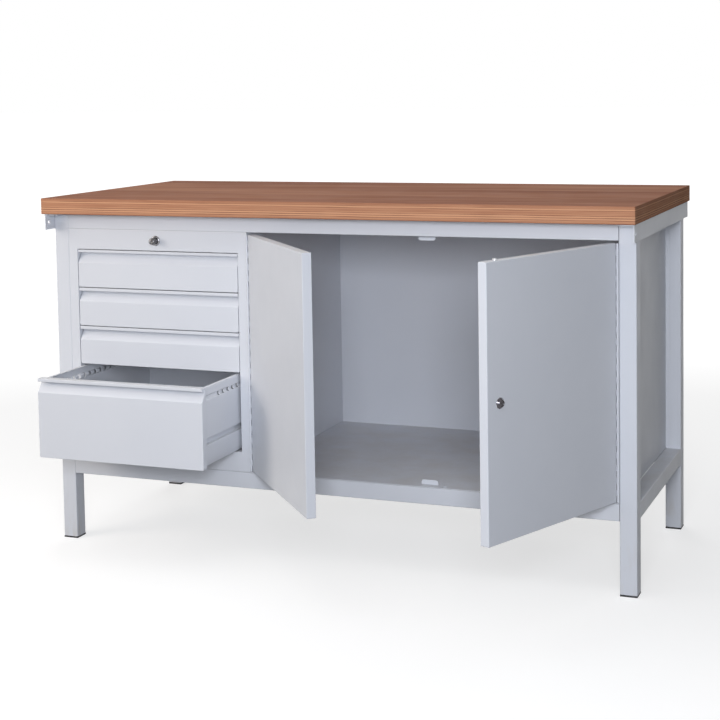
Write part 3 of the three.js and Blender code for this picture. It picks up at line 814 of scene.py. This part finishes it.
drawer_fronts = [make_drawer_front(number) for number in (1, 2, 3, 4)]
print("drawer fronts:", [piece.name for piece in drawer_fronts])

# %% [markdown]
# ## Drawer trays
# Behind each front sits a tray of thin sheet. Along each side a groove is pressed in, which rides on a rail,
# and the tall tray has a second, shallow groove with a row of slots for dividers. The outer skin is built as
# a strip of faces along the drawer, with the slots simply left out, and Solidify then gives it the thickness
# of the sheet, so no cutting is needed.

# %% Drawer trays
TRAY_SHEET = 1.2 * MM
TRAY_FOLD = 1.0 * MM
TRAY_RIM = 8 * MM
TOE_IN, TOE_UP = 5 * MM, 16 * MM
RAIL_LOW, RAIL_HIGH, RAIL_DEPTH = 51 * MM, 66 * MM, 11 * MM
DIVIDER_DROP, DIVIDER_HEIGHT = 19 * MM, 12 * MM
DIVIDER_DEPTH, DIVIDER_SLOPE = 4 * MM, 3 * MM
SLOT_PITCH, SLOT_WIDTH = 25 * MM, 9 * MM
FIRST_SLOT, LAST_SLOT = 75 * MM, 24 * MM
TALL_TRAY = 120 * MM


def groove(half, low, high, depth, slope):
    return [(half, low), (half - depth, low + slope), (half - depth, high - slope), (half, high)]


def tray_side(half, base, top):
    """Right side of a tray from its floor to the inner edge of its rim, and which stretches have slots."""
    line = [(half - TOE_IN, base), (half, base + TOE_UP)]
    line += groove(half, base + RAIL_LOW, base + RAIL_HIGH, RAIL_DEPTH, 0.0)
    slotted = range(0)
    if top - base > TALL_TRAY:
        slotted = range(len(line), len(line) + 3)
        high = top - DIVIDER_DROP
        line += groove(half, high - DIVIDER_HEIGHT, high, DIVIDER_DEPTH, DIVIDER_SLOPE)
    line += [(half, top), (half - TRAY_RIM, top)]
    return line, slotted


def slot_places(start, end):
    """Places along the drawer where slots begin and end, with the tray's own ends first and last."""
    places = [start]
    at = start + FIRST_SLOT
    while at + SLOT_WIDTH < end - LAST_SLOT:
        places += [at, at + SLOT_WIDTH]
        at += SLOT_PITCH
    return places + [end]


def make_tray(number):
    body = f"drawer_{number}"
    low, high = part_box(f"{body}_tray")
    middle, half = (low.x + high.x) / 2, (high.x - low.x) / 2
    right, slotted = tray_side(half, low.z, high.z)
    line = [(-x, z) for x, z in reversed(right)] + right
    count = len(right)
    has_slots = {count + i for i in slotted} | {count - 2 - i for i in slotted}
    places = slot_places(low.y, high.y) if slotted else [low.y, high.y]
    shape = bmesh.new()
    rows = [[shape.verts.new((middle + x, y, z)) for x, z in line] for y in places]
    for k, (row, after) in enumerate(zip(rows, rows[1:])):
        for i in range(len(line) - 1):
            if not (k % 2 == 1 and i in has_slots):
                shape.faces.new((row[i], after[i], after[i + 1], row[i + 1]))
    shape.faces.new(rows[0][1:-1])
    shape.faces.new(list(reversed(rows[-1][1:-1])))
    piece = show(f"{body}_folded_tray", shape, body, "grey_paint", f"{body}_tray")
    return folded(piece, TRAY_FOLD, steps=2, thickness=TRAY_SHEET)


drawer_trays = [make_tray(number) for number in (1, 2, 3, 4)]
print("trays:", [len(piece.data.polygons) for piece in drawer_trays], "faces")

# %% [markdown]
# ## Doors
# A door is a shallow pan: one sheet with its four edges folded back and then folded in again. Three rings of
# four corners describe it: the face, the back rim and the inner edge of the return. The doors stand open, so
# each is built square to its own hinge and then turned with it. The hinge's lower limit says how far it
# stands open, because that limit is where the door is shut.

# %% Doors
DOOR_SHEET = 1.2 * MM
DOOR_FOLD = 1.6 * MM
DOOR_RETURN = 18 * MM


def door_frame(side):
    """The door's own frame on its hinge pin: x along the door, y into the cupboard."""
    hinge = joints[f"door_{side}_hinge"]
    opened = math.radians(hinge["range_deg"][0]) * -hinge["axis"][2]
    return Matrix.Translation((hinge["pos_m"][0], hinge["pos_m"][1], 0)) @ Matrix.Rotation(opened, 4, "Z")


def own_box(node, where):
    """Lowest and highest corner of a node, measured in a frame of its own."""
    back = where.inverted()
    points = [back @ v.co for v in nodes[node].data.vertices]
    return [Vector([pick(p[i] for p in points) for i in range(3)]) for pick in (min, max)]


def make_door(side):
    name = f"door_{side}"
    where = door_frame(side)
    low, high = own_box(name, where)
    shape = bmesh.new()

    def ring(y, inset):
        left, right, base, top = low.x + inset, high.x - inset, low.z + inset, high.z - inset
        corners = ((left, base), (right, base), (right, top), (left, top))
        return [shape.verts.new((x, y, z)) for x, z in corners]

    face, rim, lip = ring(low.y, 0.0), ring(high.y, 0.0), ring(high.y, DOOR_RETURN)
    shape.faces.new(face)
    chain(shape, [lip, rim, face])
    piece = show(f"{name}_pan", shape, name, "grey_paint", name, where=where)
    return folded(piece, DOOR_FOLD, steps=3, thickness=DOOR_SHEET)


door_left, door_right = make_door("left"), make_door("right")
print("doors:", door_left.name, door_right.name)

# %% [markdown]
# ## The painted seam over the drawers
# The frame round the drawers is welded under the top rail, and filler and paint close the seam. Left open,
# it would show as a dark line, so a thin bead lies in it, just behind both faces.

# %% Seam over the drawers
SEAM_STEPS = 60
SEAM_WANDER, WANDER_PACE = 0.04 * MM, 1.7
# Pairs of millimetres behind the frame's face and above its top.
SEAM_PROFILE = ((0.10, -0.40), (0.16, 0.15), (0.10, 0.95), (0.90, 0.32), (0.90, 0.02))


def make_bezel_seam():
    low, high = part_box("drawer_bezel")
    shape = bmesh.new()
    rings = []
    for step in range(SEAM_STEPS + 1):
        x = low.x + (high.x - low.x) * step / SEAM_STEPS
        face = low.y + SEAM_WANDER * math.sin(step * WANDER_PACE)
        rings.append([shape.verts.new((x, face + back * MM, high.z + up * MM)) for back, up in SEAM_PROFILE])
    loft(shape, rings)
    return show("bezel_seam", shape, "bench", "grey_paint")


bezel_seam = make_bezel_seam()
print("seam:", len(bezel_seam.data.polygons), "faces")

# %% [markdown]
# ## Piano hinges
# Each door hangs on one long hinge. Its two leaves are strips of thin sheet, and their edges are rolled
# round one pin in turn: a knuckle of the frame's leaf, then one of the door's leaf. A single tube with lines
# on it would not part when the door moves, so each leaf is a comb with a true ring at the end of each tooth.

# %% Piano hinges
PIN_RADIUS = 1.25 * MM
KNUCKLE_BORE = 1.65 * MM
KNUCKLE_RADIUS = 2.65 * MM
KNUCKLE_COUNT = 41
KNUCKLE_GAP = 0.3 * MM
KNUCKLE_EASE = 0.25 * MM
KNUCKLE_SIDES = 24
LEAF_NEAR, LEAF_FAR = 0.5 * MM, 1.5 * MM
LEAF_START = 6.2 * MM
TOOTH_START = 2.1 * MM


def eased_wall(inner, outer, start, end):
    """Profile of a knuckle or a pin from one end to the other, with its outer edges eased."""
    eased = outer - KNUCKLE_EASE
    return [(inner, start), (eased, start), (outer, start + KNUCKLE_EASE),
            (outer, end - KNUCKLE_EASE), (eased, end), (inner, end)]


def make_hinge_leaf(node, body, where, hand, first):
    """One leaf with every second knuckle; hand is the way it lies off the pin."""
    low, high = own_box(node, where)
    pitch = (high.z - low.z) / KNUCKLE_COUNT
    comb = [(high.y, high.z), (high.y, low.z), (LEAF_START, low.z)]
    shape = bmesh.new()
    for i in range(first, KNUCKLE_COUNT, 2):
        start, end = low.z + i * pitch + KNUCKLE_GAP / 2, low.z + (i + 1) * pitch - KNUCKLE_GAP / 2
        comb += [(LEAF_START, start), (TOOTH_START, start), (TOOTH_START, end), (LEAF_START, end)]
        spin(shape, eased_wall(KNUCKLE_BORE, KNUCKLE_RADIUS, start, end), True, KNUCKLE_SIDES)
    comb.append((LEAF_START, high.z))
    loft(shape, [[shape.verts.new((hand * x, y, z)) for y, z in comb] for x in (LEAF_NEAR, LEAF_FAR)])
    return show(f"{node}_rolled", shape, body, "grey_paint", node, where=where)


def make_hinge_pin(node, where):
    low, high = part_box(node)
    shape = turned(eased_wall(0.0, PIN_RADIUS, low.z, high.z))
    return show(f"{node}_round", shape, "bench", "bright_steel", node, where=where)


hinge_pieces = []
for side, hand in (("left", 1), ("right", -1)):
    upright = Matrix.Translation(door_frame(side).translation)
    hinge_pieces += [
        make_hinge_leaf(f"hinge_{side}_frame_leaf", "bench", upright, -hand, 0),
        make_hinge_leaf(f"hinge_{side}_door_leaf", f"door_{side}", door_frame(side), hand, 1),
        make_hinge_pin(f"hinge_{side}_pin", upright),
    ]
print("hinges:", {piece.name: len(piece.data.polygons) for piece in hinge_pieces})

# %% [markdown]
# ## The door lock and its rods
# Behind the right door a lock turns a cam, and the cam drives two round rods up and down into the frame. The
# lock's barrel and plug are turned parts, so their outlines are spun about the lock's axis. The rosette is a
# low cone, which catches the light as a wedge from its rim to its middle, and the plug has a key slot. The
# rods are bars bent twice to reach the cam, made as a line with round bends and a circle swept along it.

# %% Door lock
lock_joint = joints["door_lock_turn"]
LOCK = facing(lock_joint["pos_m"], lock_joint["axis"])
ROSETTE, ROSETTE_PROUD = 12 * MM, 5.3 * MM
CONE_FLAT, CONE_BRIM = (7.5 * MM, 5.3 * MM), (7.9 * MM, 5.15 * MM)
CONE_TOP, CONE_FOOT = (8.2 * MM, 4.85 * MM), (11.5 * MM, 0.45 * MM)
BARREL, BARREL_BACK = 9.5 * MM, 22 * MM
NUT, NUT_FROM, NUT_TO = 12.5 * MM, 1.6 * MM, 5.2 * MM
PLUG, PLUG_EDGE, PLUG_SUNK = 6 * MM, 0.5 * MM, 0.6 * MM
STEM, STEM_LENGTH = 3.5 * MM, 3.8 * MM
PLUG_ROOM = 0.3 * MM
FLANGE_BACK = -0.3 * MM
KEY_SLOT, KEY_SLOT_DEPTH = (3.0 * MM, 0.8 * MM), 4.0 * MM


def key_slot(face, where, half_width, half_height):
    """A block that cuts a key's slot into the face of a plug."""
    shape = bmesh.new()
    bmesh.ops.create_cube(shape, size=2.0)
    shape.transform(where @ Matrix.Translation((0, 0, face))
                    @ Matrix.Diagonal((half_width, half_height, KEY_SLOT_DEPTH, 1.0)))
    return shape


def make_lock_barrel():
    bore = PLUG + PLUG_ROOM
    rosette = [(radius, -proud) for radius, proud in (CONE_FLAT, CONE_BRIM, CONE_TOP, CONE_FOOT)]
    profile = [
        (bore, PLUG_EDGE - ROSETTE_PROUD), (bore + PLUG_EDGE, -ROSETTE_PROUD), *rosette,
        (ROSETTE, FLANGE_BACK), (BARREL, FLANGE_BACK), (BARREL, NUT_FROM), (NUT, NUT_FROM), (NUT, NUT_TO),
        (BARREL, NUT_TO), (BARREL, BARREL_BACK), (bore, BARREL_BACK),
    ]
    # The rosette wears the darkest chrome, a painted dark reflection of the room.
    return show("door_lock_rosette", turned(profile, is_ring=True), "door_right", "chrome",
                "door_lock_barrel", where=LOCK, finish="dark_reflection_chrome")


def make_lock_plug():
    face, stem_end = PLUG_SUNK - ROSETTE_PROUD, BARREL_BACK + STEM_LENGTH
    edge = arc((PLUG - PLUG_EDGE, face + PLUG_EDGE), (PLUG_EDGE, PLUG_EDGE), 0.0, QUARTER_TURN, steps=3)
    stem = [(STEM, BARREL_BACK), (STEM, stem_end), (0.0, stem_end)]
    profile = [(0.0, face), *edge, (PLUG, BARREL_BACK), *stem]
    # The plug wears the darkest chrome, a painted dark reflection of the room.
    piece = show("door_lock_keyway", turned(profile), "door_lock", "chrome", "door_lock_plug",
                 where=LOCK, finish="dark_reflection_chrome")
    return carve(piece, key_slot(face, LOCK, *KEY_SLOT))


lock_pieces = make_lock_barrel(), make_lock_plug()
print("door lock:", [piece.name for piece in lock_pieces])

# %% Locking rods
CRANK = 15.5 * MM
ROD_RADIUS, ROD_SIDES = 5 * MM, 20
ROD_CHAMFER = 0.8 * MM
ROD_DEPTH = 11 * MM
ROD_JOG = 45 * MM
ROD_EYE = 8 * MM
BEND_RADIUS, BEND_STEPS = 7 * MM, 6


def bent_line(points):
    """A line through points, with each corner replaced by an arc."""
    line = [points[0]]
    for before, corner, after in zip(points, points[1:], points[2:]):
        arrive, leave = (before - corner).normalized(), (after - corner).normalized()
        half_turn = arrive.angle(leave) / 2
        centre = corner + (arrive + leave).normalized() * BEND_RADIUS / math.sin(half_turn)
        start, end = [corner + way * BEND_RADIUS / math.tan(half_turn) - centre for way in (arrive, leave)]
        sweep = start.angle(end)
        for step in range(BEND_STEPS + 1):
            turn = sweep * step / BEND_STEPS
            line.append(centre + (start * math.sin(sweep - turn) + end * math.sin(turn)) / math.sin(sweep))
    return line + [points[-1]]


def swept_bar(line):
    """A round bar along a line in a plane of constant z, with both ends chamfered."""
    steps = [(b - a).normalized() for a, b in zip(line, line[1:])]
    ways = [(a + b).normalized() for a, b in zip(steps[:1] + steps, steps + steps[-1:])]
    first, last = line[0] + ways[0] * ROD_CHAMFER, line[-1] - ways[-1] * ROD_CHAMFER
    spots = [line[0], first, *line[1:-1], last, line[-1]]
    ways = ways[:1] + ways + ways[-1:]
    sizes = [ROD_RADIUS - ROD_CHAMFER, *[ROD_RADIUS] * len(line), ROD_RADIUS - ROD_CHAMFER]
    turns = [2 * math.pi * i / ROD_SIDES for i in range(ROD_SIDES)]
    across = Vector((0, 0, 1))
    shape = bmesh.new()
    rings = []
    for spot, way, size in zip(spots, ways, sizes):
        side = way.cross(across)
        points = [spot + size * (side * math.cos(turn) + across * math.sin(turn)) for turn in turns]
        rings.append([shape.verts.new(point) for point in points])
    loft(shape, rings)
    return shape


def make_rod(name, up):
    """A rod in the lock's own frame, from its tip past the jog to the eye beside the cam."""
    low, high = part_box(f"lock_rod_{name}")
    tip = (high.z if up > 0 else low.z) - LOCK.translation.z
    corners = ((0.0, tip), (0.0, up * ROD_JOG), (-up * CRANK, up * ROD_JOG), (-up * CRANK, -up * ROD_EYE))
    bar = swept_bar(bent_line([Vector((x, y, ROD_DEPTH)) for x, y in corners]))
    return show(f"lock_rod_{name}_bar", bar, f"rod_{name}", "bright_steel", f"lock_rod_{name}", where=LOCK)


lock_rods = [make_rod("upper", 1), make_rod("lower", -1)]
print("rods:", [round(piece.dimensions.z / MM) for piece in lock_rods], "mm long")

# %% [markdown]
# ## The push lock of the drawers
# Over the drawers a cylinder lock stands out of the frame; pushing it in locks all four drawers. It is
# turned too: a rosette with a rounded rim, and a plug with a crowned nose, a fine groove, and a dish with a
# slot for the key.

# %% Push lock
PUSH_ROSETTE, PUSH_PROUD = 12.5 * MM, 3.3 * MM
PUSH_ROUND, ROUND_STEPS = 2.4 * MM, 6
PUSH_MOUTH = 0.6 * MM
PUSH_BARREL = 10.5 * MM
PUSH_PLUG = 8 * MM
NOSE_CROWN, NOSE_STEPS = 3.0 * MM, 8
DISH, DISH_CURVE = 3.6 * MM, 6.0 * MM
NECK, NECK_DEPTH = (4.0 * MM, 4.4 * MM, 5.2 * MM, 5.6 * MM), 0.5 * MM
push_low, push_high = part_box("drawer_lock_barrel")
nose_low, nose_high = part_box("drawer_lock_plug")
bezel_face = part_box("drawer_bezel")[0].y
PUSH = facing(((push_low.x + push_high.x) / 2, bezel_face, (push_low.z + push_high.z) / 2), (0, 1, 0))


def make_push_rosette():
    bore, back = PUSH_PLUG + PLUG_ROOM, push_high.y - bezel_face
    rim_centre = (PUSH_ROSETTE - PUSH_ROUND, PUSH_ROUND - PUSH_PROUD)
    profile = [
        (bore, PUSH_MOUTH - PUSH_PROUD), (bore + PUSH_MOUTH, -PUSH_PROUD),
        *arc(rim_centre, (PUSH_ROUND, PUSH_ROUND), 0.0, QUARTER_TURN, ROUND_STEPS),
        (PUSH_ROSETTE, FLANGE_BACK), (PUSH_BARREL, FLANGE_BACK), (PUSH_BARREL, back), (bore, back),
    ]
    return show("drawer_lock_rosette", turned(profile, is_ring=True), "bench", "chrome",
                "drawer_lock_barrel", where=PUSH)


def make_push_nose():
    face, tail = nose_low.y - bezel_face, nose_high.y - bezel_face
    rim, hollow = math.asin(DISH / PUSH_PLUG), math.asin(DISH / DISH_CURVE)
    dish_level = face + NOSE_CROWN * (1 - math.cos(rim)) - DISH_CURVE * math.cos(hollow)
    dish = arc((0.0, dish_level), (DISH_CURVE, -DISH_CURVE), 0.0, hollow, NOSE_STEPS)
    crown = arc((0.0, face + NOSE_CROWN), (PUSH_PLUG, NOSE_CROWN), rim, QUARTER_TURN, NOSE_STEPS)
    radii = (PUSH_PLUG, PUSH_PLUG - NECK_DEPTH, PUSH_PLUG - NECK_DEPTH, PUSH_PLUG)
    neck = [(radius, face + depth) for radius, depth in zip(radii, NECK)]
    profile = [*dish[:-1], *crown, *neck, (PUSH_PLUG, tail), (0.0, tail)]
    # The nose wears the grey chrome, a painted dim reflection of the room.
    piece = show("drawer_lock_nose", turned(profile), "drawer_lock", "chrome", "drawer_lock_plug",
                 where=PUSH, finish="dim_reflection_chrome")
    return carve(piece, key_slot(face, PUSH, *reversed(KEY_SLOT)))


push_pieces = make_push_rosette(), make_push_nose()
print("push lock:", [piece.name for piece in push_pieces])

# %% [markdown]
# ## Holes for the rods, and smooth shading
# The rods leave the right door through its upper and lower edge. The pan has its sheet thickness only after
# its modifiers, so the holes are cut last, from the finished sheet. Then all new pieces are shaded smooth.

# %% Holes in the right door
ROD_HOLE = ROD_RADIUS + 0.4 * MM
HOLE_REACH = 6 * MM


def rod_hole(edge):
    centre = LOCK @ Vector((0, 0, ROD_DEPTH))
    low, high = edge.z - HOLE_REACH, edge.z + HOLE_REACH
    shape = turned([(0.0, low), (ROD_HOLE, low), (ROD_HOLE, high), (0.0, high)])
    shape.transform(Matrix.Translation((centre.x, centre.y, 0.0)))
    return shape


carve(door_right, *(rod_hole(edge) for edge in reversed(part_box("door_right"))))
for piece in new_pieces:
    smoothed(piece)
print("right door:", len(door_right.data.polygons), "faces after cutting;", len(new_pieces), "pieces smooth")

# %% [markdown]
# ## Floor, daylight and lamps
# A product photograph is taken on white, in soft light. The floor and the world look white to the camera and
# in reflections, while for the light itself the floor is a dull grey, so it doesn't shine up at the bench.
# The room is brighter towards the front left. Broad area lamps give soft shadows: a cool one near the
# camera, which reaches into the cupboard, a warm one at the left, one overhead for the worktop, and one
# behind, so that the back isn't lost.

# %% Floor and world
WHITE = (1, 1, 1, 1)
BOUNCE_GREY = (0.20, 0.20, 0.20, 1)
PAPER_GREY = (0.45, 0.45, 0.45, 1)
NEAR_GLOW, FAR_GLOW = 0.62, 1.0
NEAR_REACH, FAR_REACH = 2.2, 5.5
FLOOR_SIZE = 60.0
ROOM_DIM, ROOM_BRIGHT = 0.06, 0.56
ROOM_BRIGHT_SIDE = Vector((-0.72, -0.65, 0.25)).normalized()
DIM_UNTIL, BRIGHT_FROM = -0.35, 0.65


def seen_rays(tree):
    """1 for rays that show the background: from the camera, in reflections or through glass."""
    path = add(tree, "LightPath").outputs
    shown = calc(tree, "MAXIMUM", path["Is Camera Ray"], path["Is Glossy Ray"])
    return calc(tree, "MAXIMUM", shown, path["Is Transmission Ray"])


def shown_or_felt(tree, output, felt, shown):
    """Ends a tree with one shader for the light that falls on the bench and one for what is seen."""
    both = add(tree, "MixShader", {0: seen_rays(tree), 1: felt.outputs[0], 2: shown.outputs[0]})
    feed(tree, add(tree, output).inputs["Surface"], both.outputs[0])


def empty_tree(owner):
    owner.use_nodes = True
    owner.node_tree.nodes.clear()
    return owner.node_tree


def make_floor():
    material = bpy.data.materials.new("white_floor")
    tree = empty_tree(material)
    reach = vector_calc(tree, "LENGTH", own_place(tree))["Value"]
    strength = remap(tree, reach, NEAR_REACH, FAR_REACH, NEAR_GLOW, FAR_GLOW)
    glow = add(tree, "Emission", {"Color": WHITE, "Strength": strength}).outputs[0]
    paper = add(tree, "BsdfDiffuse", {"Color": PAPER_GREY}).outputs[0]
    bounce = add(tree, "BsdfDiffuse", {"Color": BOUNCE_GREY})
    shown_or_felt(tree, "OutputMaterial", bounce, add(tree, "AddShader", {0: paper, 1: glow}))
    shape = bmesh.new()
    bmesh.ops.create_grid(shape, x_segments=4, y_segments=4, size=FLOOR_SIZE)
    mesh = mesh_from("floor", shape)
    mesh.materials.append(material)
    floor = put("floor", mesh)


def make_world():
    """A room that is bright at the front left and dim behind the bench; white where it is seen."""
    world = bpy.data.worlds.new("studio")
    tree = empty_tree(world)
    outward = add(tree, "TexCoord").outputs["Generated"]
    toward = vector_calc(tree, "DOT_PRODUCT", outward, ROOM_BRIGHT_SIDE)["Value"]
    strength = remap(tree, toward, DIM_UNTIL, BRIGHT_FROM, ROOM_DIM, ROOM_BRIGHT)
    room = add(tree, "Background", {"Color": WHITE, "Strength": strength})
    shown_or_felt(tree, "OutputWorld", room, add(tree, "Background", {"Color": WHITE, "Strength": 1.0}))
    scene.world = world


make_floor()
make_world()
print("floor and world ready")

# %% Lamps
BENCH_MIDDLE = Vector((0.0, 0.0, 0.45))
COOL = (0.95, 0.985, 1.065)
WARM = (1.10, 1.0, 0.90)
NEUTRAL = (1, 1, 1)


def soft_lamp(name, direction, distance, size, level, colour):
    """An area lamp whose light makes a white surface that faces it as bright as level."""
    data = bpy.data.lights.new(name, "AREA")
    data.shape = "RECTANGLE"
    data.size, data.size_y = size
    data.energy = level * math.pi ** 2 * distance ** 2
    data.color = colour
    lamp = put(name, data)
    toward = Vector(direction).normalized()
    lamp.location = BENCH_MIDDLE + toward * distance
    lamp.rotation_euler = toward.to_track_quat("Z", "Y").to_euler()
    return lamp


lamps = [
    soft_lamp("front", (0.36, -0.91, 0.25), 3.5, (0.9, 0.8), 0.51, COOL),
    soft_lamp("left", (-0.80, -0.55, 0.32), 2.2, (1.0, 0.8), 0.25, WARM),
    soft_lamp("overhead", (-0.1, -0.35, 1.0), 2.2, (2.0, 1.2), 0.20, NEUTRAL),
    soft_lamp("behind", (-0.35, 0.92, 0.35), 4.5, (2.6, 1.8), 0.30, NEUTRAL),
]
for lamp in lamps[2:]:
    lamp.visible_glossy = False
print("lamps:", {lamp.name: round(lamp.data.energy) for lamp in lamps})
